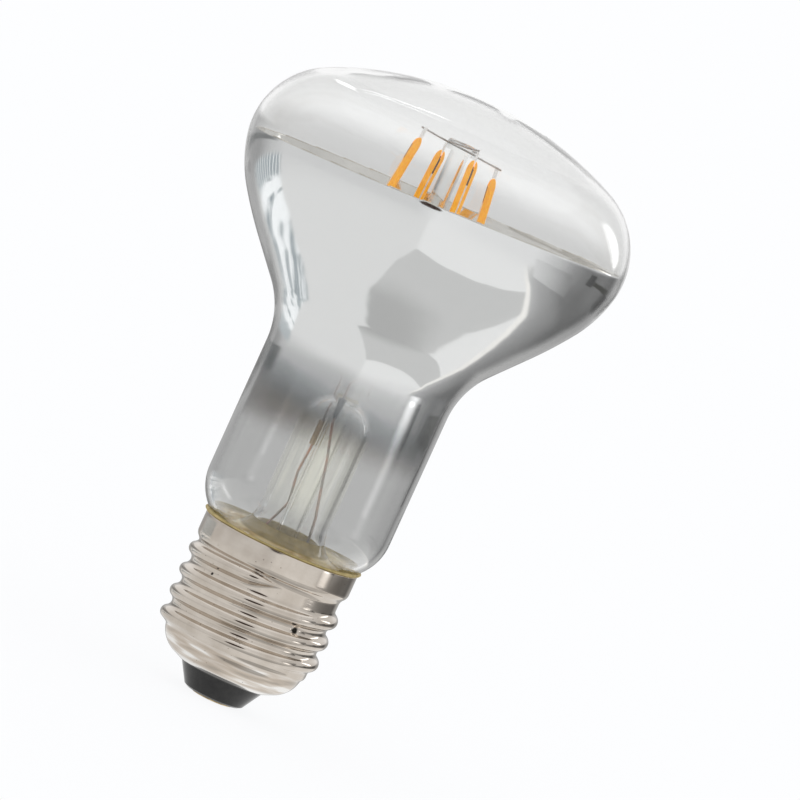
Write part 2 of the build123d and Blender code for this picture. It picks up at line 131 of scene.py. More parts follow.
def finish_material(tree, shader):
    """Join a shader to the material's output."""
    node(tree, "OutputMaterial", {"Surface": shader.outputs[0]})


def dress(material, *nodes):
    """Give CAD nodes a material in place of their plain one."""
    for name in nodes:
        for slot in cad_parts[name].material_slots:
            slot.material = material


# Shared effect: the faint, uneven film that handling leaves on a smooth surface, with fine dust.
patch_edge = 0.45
patch_core = 0.8
dust_scale = 900.0
dust_edge = 0.09
dust_core = 0.05
handling = bpy.data.node_groups.new("handling_film", "ShaderNodeTree")
handling.interface.new_socket("Coordinates", in_out="INPUT", socket_type="NodeSocketVector")
handling.interface.new_socket("Patch Scale", in_out="INPUT", socket_type="NodeSocketFloat")
handling.interface.new_socket("Film", in_out="OUTPUT", socket_type="NodeSocketFloat")
handling.interface.new_socket("Dust", in_out="OUTPUT", socket_type="NodeSocketFloat")
film_in = handling.nodes.new("NodeGroupInput")
film_out = handling.nodes.new("NodeGroupOutput")
patches = node(
    handling,
    "TexNoise",
    {"Vector": film_in.outputs["Coordinates"], "Scale": film_in.outputs["Patch Scale"], "Detail": 5.0},
)
specks = node(
    handling,
    "TexVoronoi",
    {"Vector": film_in.outputs["Coordinates"], "Scale": dust_scale, "Randomness": 1.0},
)
film_mask = spread(handling, patches.outputs["Fac"], patch_edge, patch_core)
dust_mask = spread(handling, specks.outputs["Distance"], dust_edge, dust_core)
handling.links.new(film_mask, film_out.inputs["Film"])
handling.links.new(dust_mask, film_out.inputs["Dust"])


def handling_film(tree, coordinates, patch_scale):
    """Place the handling film in a material."""
    placed = node(tree, "Group", node_tree=handling)
    tree.links.new(coordinates, placed.inputs["Coordinates"])
    placed.inputs["Patch Scale"].default_value = patch_scale
    return placed


def clear_glass(name, tint, wave_scale, wave_height, draw, haze_glow=None):
    """Clear glass with drawn-out waves, a faint film, its wall's tint, and any hazy length painted as a
    faint glow.
    """
    material, tree, place = start_material(name)
    film = handling_film(tree, place, film_patches)
    gloss = spread(tree, film.outputs["Film"], 0.0, 1.0, 0.0, film_roughness)
    drawn = node(tree, "VectorMath", {0: place, 1: (1.0, 1.0, 1.0 / draw)}, operation="MULTIPLY")
    waves = node(
        tree,
        "TexNoise",
        {"Vector": drawn.outputs[0], "Scale": wave_scale, "Detail": 2.0, "Roughness": 0.35},
    )
    ripple = node(
        tree,
        "Bump",
        {"Height": waves.outputs["Fac"], "Strength": 0.35, "Distance": wave_height},
    )
    glass = node(
        tree,
        "BsdfPrincipled",
        {
            "Base Color": tint,
            "Roughness": gloss,
            "IOR": glass_ior,
            "Transmission Weight": 1.0,
            "Normal": ripple.outputs["Normal"],
        },
    )
    # The hazy length glows: painted light in streaks, standing in for light that haze would catch.
    if haze_glow:
        foot, top, fade, colour = haze_glow
        level = node(tree, "SeparateXYZ", {"Vector": place}).outputs["Z"]
        above = spread(tree, level, foot, foot + fade)
        below = spread(tree, level, top, top - fade)
        strands = node(
            tree,
            "TexNoise",
            {"Vector": drawn.outputs[0], "Scale": haze_fineness * wave_scale, "Detail": 3.0},
        )
        painted_streaks = spread(tree, strands.outputs["Fac"], *haze_streaks)
        cloud = both(tree, above, below, painted_streaks)
        painted_haze_glow = node(tree, "VectorMath", {0: colour, "Scale": cloud}, operation="SCALE")
        tree.links.new(painted_haze_glow.outputs[0], glass.inputs["Emission Color"])
        glass.inputs["Emission Strength"].default_value = 1.0
    finish_material(tree, glass)
    return material


def start_line(name, radius, height):
    """Begin a turned piece: a new mesh in edit mode, merged to its meridian's first point."""
    bpy.ops.object.select_all(action="DESELECT")
    bpy.ops.mesh.primitive_plane_add(size=radius + height, enter_editmode=True)
    bpy.context.object.name = name
    bpy.ops.mesh.merge(type="CENTER")
    bpy.ops.transform.translate(value=(radius, 0, height))


def line_end():
    """Radius and height of the meridian's free end."""
    mesh = bmesh.from_edit_mesh(bpy.context.object.data)
    end = next(vertex for vertex in mesh.verts if vertex.select)
    return end.co.x, end.co.z


def run_to(radius, height, steps=1):
    """Extrude the meridian's end straight to this point in equal steps."""
    start_radius, start_height = line_end()
    stride = ((radius - start_radius) / steps, 0, (height - start_height) / steps)
    for _ in range(steps):
        bpy.ops.mesh.extrude_vertices_move(TRANSFORM_OT_translate={"value": stride})


def bend(heading, bend_radius, turn, steps):
    """Spin the meridian's end from a heading through a tangent arc, and return the new heading.

    Headings and turns are degrees in the meridian's plane, anticlockwise from outwards.
    """
    radius, height = line_end()
    side = radians(heading + (90 if turn > 0 else -90))
    centre = (radius + bend_radius * cos(side), 0, height + bend_radius * sin(side))
    bpy.ops.mesh.spin(steps=steps, angle=radians(turn), center=centre, axis=(0, 1, 0))
    return heading + turn


def turn_round(segments):
    """Spin the whole meridian round the axis, close its seam and poles, and face it outwards."""
    bpy.ops.mesh.select_all(action="SELECT")
    bpy.ops.mesh.spin(steps=segments, angle=2 * pi, center=(0, 0, 0), axis=(0, 0, 1))
    bpy.ops.mesh.select_all(action="SELECT")
    bpy.ops.mesh.remove_doubles(threshold=1e-6)
    bpy.ops.mesh.normals_make_consistent(inside=False)
    bpy.ops.object.mode_set(mode="OBJECT")
    bpy.ops.object.shade_smooth()
    return bpy.context.object


shoulder_centre = stem_radius - shoulder_round
shoulder_lift = shoulder_round * sin(radians(shoulder_turn))
shoulder_reach = shoulder_round * cos(radians(shoulder_turn))
flare_inner_round = flare_bend_round + stem_wall
flare_inner_foot = flare_bend_height - flare_inner_round * sin(radians(flare_bend_turn))
flare_inner_reach = stem_radius + flare_bend_round - flare_inner_round * cos(radians(flare_bend_turn))
brim_fall = tan(radians(90.0 - flare_bend_turn))
cavity_round = shoulder_round - stem_wall
start_line("stem", 0.0, button_top)
run_to(button_radius - button_round, button_top)
bend(0.0, button_round, -90.0, steps=6)
run_to(button_radius, button_top - button_height)
run_to(column_radius, button_top - button_height)
run_to(column_radius, shoulder_height + shoulder_lift + shoulder_rise, steps=8)
run_to(shoulder_centre + shoulder_reach, shoulder_height + shoulder_lift)
heading = bend(shoulder_turn - 90.0, shoulder_round, -shoulder_turn, steps=20)
run_to(stem_radius, flare_bend_height, steps=8)
heading = bend(heading, flare_bend_round, flare_bend_turn, steps=16)
brim_radius, brim_height = line_end()
run_to(flare_lip_radius, brim_height - (flare_lip_radius - brim_radius) * brim_fall)
run_to(flare_lip_radius, flare_inner_foot - (flare_lip_radius - flare_inner_reach) * brim_fall)
run_to(flare_inner_reach, flare_inner_foot)
heading = bend(heading + 180.0, flare_inner_round, -flare_bend_turn, steps=16)
run_to(stem_radius - stem_wall, shoulder_height, steps=8)
bend(heading, cavity_round, degrees(acos((exhaust_radius - shoulder_centre) / cavity_round)), steps=20)
run_to(exhaust_radius, exhaust_tip + exhaust_tip_wall, steps=8)
bend(-90.0, exhaust_tip_wall, -90.0, steps=6)
run_to(0.0, exhaust_tip)
stem = turn_round(stem_segments)
start_line("stem_bore", 0.0, exhaust_bore_top)
run_to(exhaust_bore, exhaust_bore_top)
run_to(exhaust_bore, exhaust_tip + exhaust_tip_wall, steps=8)
run_to(0.0, exhaust_tip + exhaust_tip_wall)
bore = turn_round(stem_segments)
bore.data.flip_normals()
stem.select_set(True)
bpy.context.view_layer.objects.active = stem
bpy.ops.object.join()
bpy.ops.object.shade_smooth_by_angle(angle=radians(40))
stem_glass = clear_glass(
    "stem_glass",
    stem_tint,
    wave_scale=900.0,
    wave_height=0.00002,
    draw=40.0,
    haze_glow=(haze_foot, haze_top, haze_fade, haze_glow_colour),
)
stem.data.materials.append(stem_glass)
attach(stem, "root")
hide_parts("glass_stem")

# Lead wires: copper-clad wire drawn thin, sealed through the glass of the stem. The left wire has
# a fused amber bead below its seal, the right one a dark oxidised sleeve that tapers down.
wire_grey = (0.33, 0.30, 0.28, 1.0)
wire_copper = (0.56, 0.26, 0.17, 1.0)
bead_brown = (0.58, 0.36, 0.17, 1.0)
bead_amber = (0.78, 0.56, 0.30, 1.0)
sleeve_dark = (0.012, 0.011, 0.011, 1.0)
sleeve_oxide = (0.05, 0.042, 0.038, 1.0)
roughness_drift = 0.08


def drawn_wire(name, dull, bright, patch_scale, roughness):
    """Drawn wire whose colour drifts along its length between two metals."""
    material, tree, place = start_material(name)
    patches = node(tree, "TexNoise", {"Vector": place, "Scale": patch_scale, "Detail": 4.0})
    colour = ramp(tree, patches.outputs["Fac"], ((0.38, dull), (0.62, bright)))
    scores = node(tree, "TexNoise", {"Vector": place, "Scale": 6000.0, "Detail": 2.0})
    scored = node(tree, "Bump", {"Height": scores.outputs["Fac"], "Strength": 0.3, "Distance": 0.00002})
    metal = node(
        tree,
        "BsdfPrincipled",
        {
            "Base Color": colour,
            "Metallic": 1.0,
            "Roughness": roughness,
            "Normal": scored.outputs["Normal"],
        },
    )
    finish_material(tree, metal)
    return material


def mottled(name, dark, light, patch_scale, roughness, bump_height, shine=0.5, glow=0.0):
    """Opaque surface with a mottled colour, a matching fine relief and any painted glow."""
    material, tree, place = start_material(name)
    patches = node(tree, "TexNoise", {"Vector": place, "Scale": patch_scale, "Detail": 6.0})
    colour = ramp(tree, patches.outputs["Fac"], ((0.3, dark), (0.7, light)))
    relief = node(
        tree,
        "Bump",
        {"Height": patches.outputs["Fac"], "Strength": 0.6, "Distance": bump_height},
    )
    shade = spread(
        tree,
        patches.outputs["Fac"],
        0.0,
        1.0,
        roughness - roughness_drift,
        roughness + roughness_drift,
    )
    body = node(
        tree,
        "BsdfPrincipled",
        {
            "Base Color": colour,
            "Roughness": shade,
            "Specular IOR Level": shine,
            "Emission Color": colour,
            "Emission Strength": glow,
            "Normal": relief.outputs["Normal"],
        },
    )
    finish_material(tree, body)
    return material


copper_wire = drawn_wire("copper_clad_wire", wire_grey, wire_copper, patch_scale=260.0, roughness=0.34)
dress(copper_wire, "lead_wire_left", "lead_wire_right")
amber_bead = mottled(
    "amber_bead", bead_brown, bead_amber, patch_scale=900.0, roughness=0.2, bump_height=0.00003
)
dress(amber_bead, "seal_bead_left")
dark_sleeve = mottled(
    "dark_sleeve", sleeve_dark, sleeve_oxide, patch_scale=1500.0, roughness=0.4, bump_height=0.00002
)
dress(dark_sleeve, "seal_sleeve_right")

# Bus wires and crosswires: stiff nickel-plated steel wire. Two bus wires cross in the button and
# hold the strips by their top tabs; a crosswire joins two strip feet to each lead wire. The wire from
# the driver to the shell is of the same stock.
steel_dull = (0.30, 0.27, 0.25, 1.0)
steel_bright = (0.62, 0.60, 0.58, 1.0)
steel_wire = drawn_wire("steel_wire", steel_dull, steel_bright, patch_scale=420.0, roughness=0.3)
dress(steel_wire, "bus_wire_long", "bus_wire_short", "crosswire_left", "crosswire_right", "shell_wire")

# LED strips: a white ceramic core between two beads of silicone loaded with yellow phosphor, with
# a stamped metal terminal at each end. The terminals are welded to the wires.
strip_count = 4
strip_length = 0.028
strip_tip = 0.0019
bead_half_width = 0.000625
bead_height = 0.00068
core_half_thickness = 0.000145
tab_free_length = 0.003
tab_fade = 0.0003
phosphor_deep = (0.91, 0.365, 0.006, 1.0)
phosphor_bright = (1.0, 0.455, 0.012, 1.0)
ceramic_white = (0.86, 0.83, 0.75, 1.0)
ceramic_shade = (0.70, 0.64, 0.52, 1.0)
terminal_dark = (0.05, 0.042, 0.035, 1.0)
terminal_worn = (0.16, 0.14, 0.12, 1.0)
terminal_bright = (0.94, 0.93, 0.91, 1.0)
# The strips are not lit, yet the terminals, the cores and the phosphor glow a little: painted light.
terminal_glow = 0.32
ceramic_glow = 0.3
phosphor_glow = 0.5

phosphor, phosphor_tree, place = start_material("phosphor_silicone")
grains = node(phosphor_tree, "TexNoise", {"Vector": place, "Scale": 1900.0, "Detail": 4.0})
phosphor_colour = ramp(
    phosphor_tree,
    grains.outputs["Fac"],
    ((0.35, phosphor_deep), (0.65, phosphor_bright)),
)
skin = node(phosphor_tree, "Bump", {"Height": grains.outputs["Fac"], "Strength": 0.25, "Distance": 0.00003})
silicone = node(
    phosphor_tree,
    "BsdfPrincipled",
    {
        "Base Color": phosphor_colour,
        "Roughness": 0.42,
        "Emission Color": phosphor_colour,
        "Emission Strength": phosphor_glow,
        "Normal": skin.outputs["Normal"],
    },
)
finish_material(phosphor_tree, silicone)


def over(tree, mask, under, colour):
    """Lay a colour over another where a mask is 1."""
    return node(tree, "Mix", {"Factor": mask, "A": under, "B": colour}, data_type="RGBA").outputs["Result"]


def strip_terminal(name, tab_top):
    """Stamped terminal, pale where it stands free above the beads and dark inside them, with a painted glow
    that is brightest on its free end.
    """
    material, tree, place = start_material(name)
    rolled = node(tree, "TexNoise", {"Vector": place, "Scale": 1400.0, "Detail": 4.0})
    covered = ramp(tree, rolled.outputs["Fac"], ((0.4, terminal_dark), (0.65, terminal_worn)))
    level = node(tree, "SeparateXYZ", {"Vector": place}).outputs["Z"]
    tab_foot = tab_top - tab_free_length
    free_end = spread(tree, level, tab_foot - tab_fade, tab_foot)
    metal = node(
        tree,
        "BsdfPrincipled",
        {
            "Base Color": over(tree, free_end, covered, terminal_bright),
            "Metallic": 0.15,
            "Roughness": 0.42,
            "Emission Color": over(tree, free_end, terminal_dark, terminal_bright),
            "Emission Strength": terminal_glow,
        },
    )
    finish_material(tree, metal)
    return material


def strip_axes(core):
    """Centre and length, width and thickness directions of a strip, from its flat core."""
    corners = np.array([vertex.co for vertex in core.data.vertices])
    length, width, thickness = np.linalg.svd(corners - corners.mean(axis=0), full_matrices=False)[2]
    if length[2] < 0:
        length = -length
    return Vector(corners.mean(axis=0)), Vector(length), Vector(width), Vector(thickness)


def phosphor_bead(name, centre, length, width, outward):
    """Half of a long drop with tapered ends, its flat side on the core."""
    bpy.ops.object.select_all(action="DESELECT")
    bpy.ops.mesh.primitive_uv_sphere_add(segments=32, ring_count=20, radius=1.0, enter_editmode=True)
    bead = bpy.context.object
    bead.name = name
    bpy.ops.mesh.select_all(action="SELECT")
    bpy.ops.mesh.bisect(plane_co=(0, 0, 0), plane_no=(0, 1, 0), use_fill=True, clear_inner=True)
    bpy.ops.mesh.select_all(action="SELECT")
    bpy.ops.transform.resize(value=(bead_half_width, bead_height, strip_tip), center_override=(0, 0, 0))
    mesh = bmesh.from_edit_mesh(bead.data)
    for vertex in mesh.verts:
        vertex.co.z += (strip_length / 2 - strip_tip) * (1 if vertex.co.z > 1e-6 else -1)
    bmesh.update_edit_mesh(bead.data)
    bpy.ops.object.mode_set(mode="OBJECT")
    foot = centre + outward * core_half_thickness
    bead.data.transform(Matrix((width, outward, length)).transposed().to_4x4())
    bead.data.transform(Matrix.Translation(foot))
    if width.cross(outward).dot(length) < 0:
        bead.data.flip_normals()
    bpy.ops.object.shade_smooth_by_angle(angle=radians(50))
    bead.data.materials.append(phosphor)
    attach(bead, "root")
    return bead


strip_ceramic = mottled(
    "strip_ceramic",
    ceramic_shade,
    ceramic_white,
    patch_scale=1800.0,
    roughness=0.55,
    bump_height=0.00001,
    glow=ceramic_glow,
)
for number in range(1, strip_count + 1):
    strip = f"filament_{number}"
    dress(strip_ceramic, f"{strip}_core")
    tab_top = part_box(f"{strip}_top_tab")[1].z
    dress(strip_terminal(f"{strip}_terminal", tab_top), f"{strip}_top_tab", f"{strip}_foot_tab")
    centre, length, width, thickness = strip_axes(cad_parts[f"{strip}_core"])
    for side in ("front", "back"):
        low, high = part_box(f"{strip}_{side}_phosphor")
        outward = thickness if ((low + high) / 2 - centre).dot(thickness) > 0 else -thickness
        bead = phosphor_bead(f"{strip}_{side}_bead", centre, length, width, outward)
        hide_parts(f"{strip}_{side}_phosphor")

# Bulb glass: one blown piece of clear soda-lime glass, a low dome over a round rim, a bowl that
# sweeps in to a straight neck, and a foot drawn in to the edge where the stem is melted on.
bulb_low, bulb_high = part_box("glass_envelope")
bulb_radius = bulb_high.x
dome_top = bulb_high.z
seal_height = bulb_low.z
rim_height = 0.0853
rim_round = 0.0131
bowl_bends = ((0.0131, 12.6), (0.0213, 21.9), (0.0705, 6.4))
flare_round = 0.0135
neck_radius = 0.01535
neck_foot_height = 0.0333
neck_foot_round = 0.0083
seal_radius = 0.0114
glass_wall = 0.0009
bulb_segments = 256
bulb_tint = (0.952, 0.955, 0.952, 1.0)


def thicken(piece, wall):
    """Give a skin its wall, inwards from its outer face."""
    bpy.context.view_layer.objects.active = piece
    skin = piece.modifiers.new("wall", "SOLIDIFY")
    skin.thickness = wall
    skin.offset = -1
    skin.use_even_offset = True
    bpy.ops.object.modifier_apply(modifier=skin.name)


# The dome is a sphere tangent to the rim's round.
dome_rise = dome_top - rim_height
rim_centre = bulb_radius - rim_round
dome_round = (dome_rise**2 + rim_centre**2 - rim_round**2) / (2 * (dome_rise - rim_round))
dome_turn = degrees(asin(rim_centre / (dome_round - rim_round)))
flare_turn = sum(turn for _, turn in bowl_bends)
foot_turn = degrees(acos((seal_radius - neck_radius + neck_foot_round) / neck_foot_round))


def run_bowl(heading, depth):
    """Run a meridian, this deep in the wall, from the widest circle down the bowl to the neck."""
    for bend_radius, turn in bowl_bends:
        heading = bend(heading, bend_radius - depth, -turn, steps=16)
    radius, height = line_end()
    flare_reach = (flare_round + depth) * (1 - cos(radians(flare_turn)))
    cone = (radius - neck_radius + depth - flare_reach) / sin(radians(flare_turn))
    run_to(
        radius - cone * sin(radians(flare_turn)),
        height - cone * cos(radians(flare_turn)),
        steps=4,
    )
    return bend(heading, flare_round + depth, flare_turn, steps=24)


start_line("bulb_glass", 0.0, dome_top)
heading = bend(0.0, dome_round, -dome_turn, steps=40)
heading = bend(heading, rim_round, dome_turn - 90, steps=40)
heading = run_bowl(heading, 0.0)
run_to(neck_radius, neck_foot_height, steps=12)
bend(heading, neck_foot_round, -foot_turn, steps=18)
run_to(seal_radius, seal_height)
bulb_glass = turn_round(bulb_segments)
thicken(bulb_glass, glass_wall)
blown_glass = clear_glass("bulb_glass", bulb_tint, wave_scale=55.0, wave_height=0.0005, draw=1.0)
bulb_glass.data.materials.append(blown_glass)
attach(bulb_glass, "root")
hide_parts("glass_envelope")

# Mirror: aluminium evaporated inside the bowl up to its widest circle. It thins out in the neck
# to a dark, see-through blue before it ends.
mirror_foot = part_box("mirror_coating")[0].z
mirror_gap = 0.00005
mirror_thickness = 0.0001
mirror_edge_tilt = 2.0
mirror_overrun = 12.0
mirror_bright = (0.90, 0.905, 0.91, 1.0)
mirror_clear = (0.79, 0.795, 0.80, 1.0)
mirror_soft = (0.73, 0.74, 0.745, 1.0)
mirror_thin = (0.49, 0.515, 0.53, 1.0)
mirror_blue = (0.31, 0.335, 0.35, 1.0)
mirror_dark = (0.155, 0.17, 0.18, 1.0)
mirror_deep = (0.115, 0.102, 0.088, 1.0)
mirror_brown = (0.11, 0.085, 0.06, 1.0)
mirror_edge = (0.56, 0.53, 0.47, 1.0)
edge_width = 0.00016
band_width = 0.006
band_fade = 0.0024
band_share = 0.55
fade_top = 0.0575
fade_lean = 0.12
film_lean = -0.1
fade_wander = 0.0005
foot_fade = 0.003
mirror_roughness = (0.02, 0.07)

mirror_edge_normal = Vector((-sin(radians(mirror_edge_tilt)), 0, cos(radians(mirror_edge_tilt))))
mirror_depth = glass_wall + mirror_gap
rim_inner = rim_round - mirror_depth
start_line(
    "mirror",
    rim_centre + rim_inner * cos(radians(mirror_overrun)),
    rim_height + rim_inner * sin(radians(mirror_overrun)),
)
heading = bend(mirror_overrun - 90, rim_inner, -mirror_overrun, steps=8)
run_bowl(heading, mirror_depth)
run_to(neck_radius - mirror_depth, mirror_foot, steps=16)
mirror = turn_round(bulb_segments)
bpy.ops.object.mode_set(mode="EDIT")
bpy.ops.mesh.select_all(action="SELECT")
bpy.ops.mesh.bisect(
    plane_co=(0, 0, rim_height),
    plane_no=mirror_edge_normal,
    clear_outer=True,
)
bpy.ops.object.mode_set(mode="OBJECT")
thicken(mirror, mirror_thickness)

film, film_tree, place = start_material("mirror_aluminium")
parts = node(film_tree, "SeparateXYZ", {"Vector": place})
drift = node(film_tree, "TexNoise", {"Vector": place, "Scale": 120.0, "Detail": 4.0})
wander = spread(film_tree, drift.outputs["Fac"], 0.0, 1.0, -fade_wander, fade_wander)


def film_share(lean):
    """Place between the film's foot and its full thickness, leaning from left to right."""
    leaned = node(
        film_tree,
        "Math",
        {0: parts.outputs["X"], 1: -lean, 2: wander},
        operation="MULTIPLY_ADD",
    )
    level = node(film_tree, "Math", {0: parts.outputs["Z"], 1: leaned.outputs[0]}, operation="ADD")
    return spread(film_tree, level.outputs["Value"], mirror_foot, fade_top)


film_colour = ramp(
    film_tree,
    film_share(film_lean),
    (
        (0.24, mirror_brown),
        (0.34, mirror_deep),
        (0.44, mirror_dark),
        (0.53, mirror_blue),
        (0.62, mirror_thin),
        (0.72, mirror_soft),
        (0.83, mirror_clear),
        (0.98, mirror_bright),
    ),
)
thinning = ramp(
    film_tree,
    film_share(fade_lean),
    (
        (0.0, 0.0),
        (0.11, 0.07),
        (0.21, 0.16),
        (0.31, 0.26),
        (0.40, 0.35),
        (0.50, 0.37),
        (0.594, 0.37),
        (0.69, 0.41),
        (0.785, 0.48),
        (0.88, 0.72),
        (0.96, 0.93),
        (1.0, 1.0),
    ),
)
lowest = spread(film_tree, parts.outputs["Z"], mirror_foot, mirror_foot + foot_fade)
film_cover = both(film_tree, thinning, lowest)
below_edge = node(
    film_tree,
    "VectorMath",
    {0: place, 1: mirror_edge_normal},
    operation="DOT_PRODUCT",
).outputs["Value"]
edge_level = mirror_edge_normal.z * rim_height
edge_line = spread(film_tree, below_edge, edge_level - 1.5 * edge_width, edge_level - 0.5 * edge_width)
film_colour = over(film_tree, edge_line, film_colour, mirror_edge)

# Its inner face is warmer just below the edge, where the vapour settled last.
from_axis = node(film_tree, "VectorMath", {0: place, 1: (1.0, 1.0, 0.0)}, operation="MULTIPLY")
outward = node(
    film_tree,
    "VectorMath",
    {0: from_axis.outputs[0], 1: node(film_tree, "NewGeometry").outputs["Normal"]},
    operation="DOT_PRODUCT",
).outputs["Value"]
inside = node(film_tree, "Math", {0: outward, 1: 0.0}, operation="LESS_THAN").outputs[0]
warm_band = spread(
    film_tree,
    below_edge,
    edge_level - band_width,
    edge_level - band_width + band_fade,
    0.0,
    band_share,
)
film_colour = over(film_tree, both(film_tree, warm_band, inside), film_colour, mirror_edge)
bands = node(film_tree, "TexNoise", {"Vector": place, "Scale": 60.0, "Detail": 3.0})
sheen = spread(film_tree, bands.outputs["Fac"], 0.0, 1.0, *mirror_roughness)
sag = node(film_tree, "Bump", {"Height": bands.outputs["Fac"], "Strength": 0.25, "Distance": 0.0006})
aluminium = node(
    film_tree,
    "BsdfPrincipled",
    {
        "Base Color": film_colour,
        "Metallic": 1.0,
        "Roughness": sheen,
        "Alpha": film_cover,
        "Normal": sag.outputs["Normal"],
    },
)
finish_material(film_tree, aluminium)
mirror.data.materials.append(film)
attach(mirror, "root")
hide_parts("mirror_coating")

# Driver: a small laminate board with a bridge rectifier, a driver chip, a capacitor can and a fuse
# resistor, soldered up and hidden in the cap.
board_green = (0.03, 0.16, 0.07, 1.0)
board_light = (0.06, 0.24, 0.10, 1.0)
moulding_black = (0.018, 0.018, 0.02, 1.0)
moulding_worn = (0.05, 0.05, 0.052, 1.0)
can_dull = (0.42, 0.42, 0.43, 1.0)
can_bright = (0.70, 0.70, 0.71, 1.0)
enamel_blue = (0.10, 0.22, 0.30, 1.0)
enamel_light = (0.16, 0.32, 0.42, 1.0)
board_laminate = mottled(
    "board_laminate", board_green, board_light, patch_scale=1600.0, roughness=0.4, bump_height=0.00002
)
dress(board_laminate, "driver_board")
chip_moulding = mottled(
    "chip_moulding", moulding_black, moulding_worn, patch_scale=3500.0, roughness=0.55, bump_height=0.00001
)
dress(chip_moulding, "rectifier", "driver_chip")
capacitor_can = drawn_wire("capacitor_can", can_dull, can_bright, patch_scale=500.0, roughness=0.3)
dress(capacitor_can, "smoothing_capacitor")
resistor_enamel = mottled(
    "resistor_enamel", enamel_blue, enamel_light, patch_scale=2200.0, roughness=0.35, bump_height=0.00002
)
dress(resistor_enamel, "fuse_resistor")

# Screw shell: thin sheet drawn to a cup and rolled into a rounded screw thread, nickel plated, with
# a plain collar above and a rounded lower end. One wire is fixed to it by a punch mark.
shell_low, shell_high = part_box("screw_shell")
collar_top = shell_high.z
collar_radius = 0.01285
collar_foot = 0.0236
collar_step_round = 0.0015
rim_edge_round = 0.0002
thread_radius = 0.013075
root_radius = 0.012
thread_pitch = 0.003629
thread_turns = 3.52
thread_start_angle = radians(100.0)
thread_start_height = 0.00876
thread_run_in = 0.1
thread_run_out = 0.085
thread_least_width = 0.02
thread_foot = 0.0091
tuck_round = 0.001
tuck_turn = 45.0
dish_round = 0.0046
dish_start = 12.0
dish_turn = 54.0
dish_lip = 0.00165
shell_wall = 0.00035
shell_segments = 320
punch_angle = radians(-52.3)
punch_height = 0.0161
punch_radius = 0.0006
punch_depth = 0.00012
punch_edge = 1.5
punch_shade_radius = 0.00034
dark_mark_fade = (1.9, 1.2)
speck_angle = radians(-130.8)
speck_height = 0.0188
speck_radius = 0.00016
rolling_stretch = 0.12
dish_reflection_fade = 0.0008
lip_highlight_top = 0.0011
lip_highlight_full = 0.0006
plate_roughness = (0.04, 0.11)
nickel_dull = (0.575, 0.515, 0.45, 1.0)
nickel_bright = (0.70, 0.64, 0.575, 1.0)
nickel_shade = (0.45, 0.40, 0.345, 1.0)
nickel_pink = (0.58, 0.505, 0.43, 1.0)
nickel_highlight = (0.93, 0.91, 0.88, 1.0)
nickel_stain = (0.20, 0.165, 0.13, 1.0)
punch_shade_and_speck_black = (0.02, 0.018, 0.015, 1.0)

step_turn = degrees(acos(1 - (collar_radius - root_radius) / (2 * collar_step_round)))
start_line("shell", collar_radius - rim_edge_round, collar_top)
heading = bend(0.0, rim_edge_round, -90.0, steps=5)
run_to(collar_radius, collar_foot, steps=6)
heading = bend(heading, collar_step_round, -step_turn, steps=8)
heading = bend(heading, collar_step_round, step_turn, steps=8)
run_to(root_radius, thread_foot, steps=84)
heading = bend(heading, tuck_round, -tuck_turn, steps=8)
heading = bend(heading, tuck_round, tuck_turn - dish_start, steps=6)
heading = bend(heading, dish_round, -dish_turn, steps=16)
lip_radius, lip_height = line_end()
run_to(
    lip_radius + dish_lip * cos(radians(heading)),
    lip_height + dish_lip * sin(radians(heading)),
    steps=3,
)
shell = turn_round(shell_segments)


def smooth(value):
    """Ease from 0 to 1 over the unit range."""
    value = np.clip(value, 0, 1)
    return value * value * (3 - 2 * value)


# The thread is pressed out of the plain sheet as equal round crests and roots that climb the axis.
points = np.empty(3 * len(shell.data.vertices))
shell.data.vertices.foreach_get("co", points)
points = points.reshape(-1, 3)
radius = np.hypot(points[:, 0], points[:, 1])
angle = np.arctan2(points[:, 1], points[:, 0])
turns = ((angle - thread_start_angle) % (2 * pi)) / (2 * pi)
thread_depth = thread_radius - root_radius
crest_round = (thread_pitch**2 / 4 + thread_depth**2) / (4 * thread_depth)
pressed = np.zeros(len(points))
for coil in range(int(thread_turns) + 1):
    along = coil + turns
    taper = smooth(along / thread_run_in) * smooth((thread_turns - along) / thread_run_out)
    off = abs(points[:, 2] - thread_start_height - thread_pitch * along)
    off /= np.maximum(taper, thread_least_width)
    near_crest = thread_depth - crest_round + np.sqrt(np.maximum(crest_round**2 - off**2, 0))
    to_root = np.clip(thread_pitch / 2 - off, 0, thread_pitch / 4)
    near_root = crest_round - np.sqrt(crest_round**2 - to_root**2)
    bead = np.where(off < thread_pitch / 4, near_crest, near_root) * taper
    pressed = np.maximum(pressed, bead)
step_out = np.where(points[:, 2] > thread_foot, radius - root_radius, 0.0)
growth = np.maximum(pressed, step_out) - step_out
across = root_radius * ((angle - punch_angle + pi) % (2 * pi) - pi)
punch = np.hypot(across, points[:, 2] - punch_height) / punch_radius
growth -= punch_depth * smooth(punch_edge - punch)
points[:, 0] *= 1 + growth / radius
points[:, 1] *= 1 + growth / radius
shell.data.vertices.foreach_set("co", points.ravel())
shell.data.update()
thicken(shell, shell_wall)

plating, plating_tree, place = start_material("nickel_plating")
smudges = handling_film(plating_tree, place, patch_scale=160.0)
parts = node(plating_tree, "SeparateXYZ", {"Vector": place})
rolled = node(
    plating_tree,
    "VectorMath",
    {0: place, 1: (rolling_stretch, rolling_stretch, 1.0)},
    operation="MULTIPLY",
)
lines = node(plating_tree, "TexNoise", {"Vector": rolled.outputs[0], "Scale": 4200.0, "Detail": 3.0})
clouds = node(plating_tree, "TexNoise", {"Vector": place, "Scale": 240.0, "Detail": 6.0})
plate_colour = ramp(plating_tree, clouds.outputs["Fac"], ((0.34, nickel_dull), (0.66, nickel_bright)))
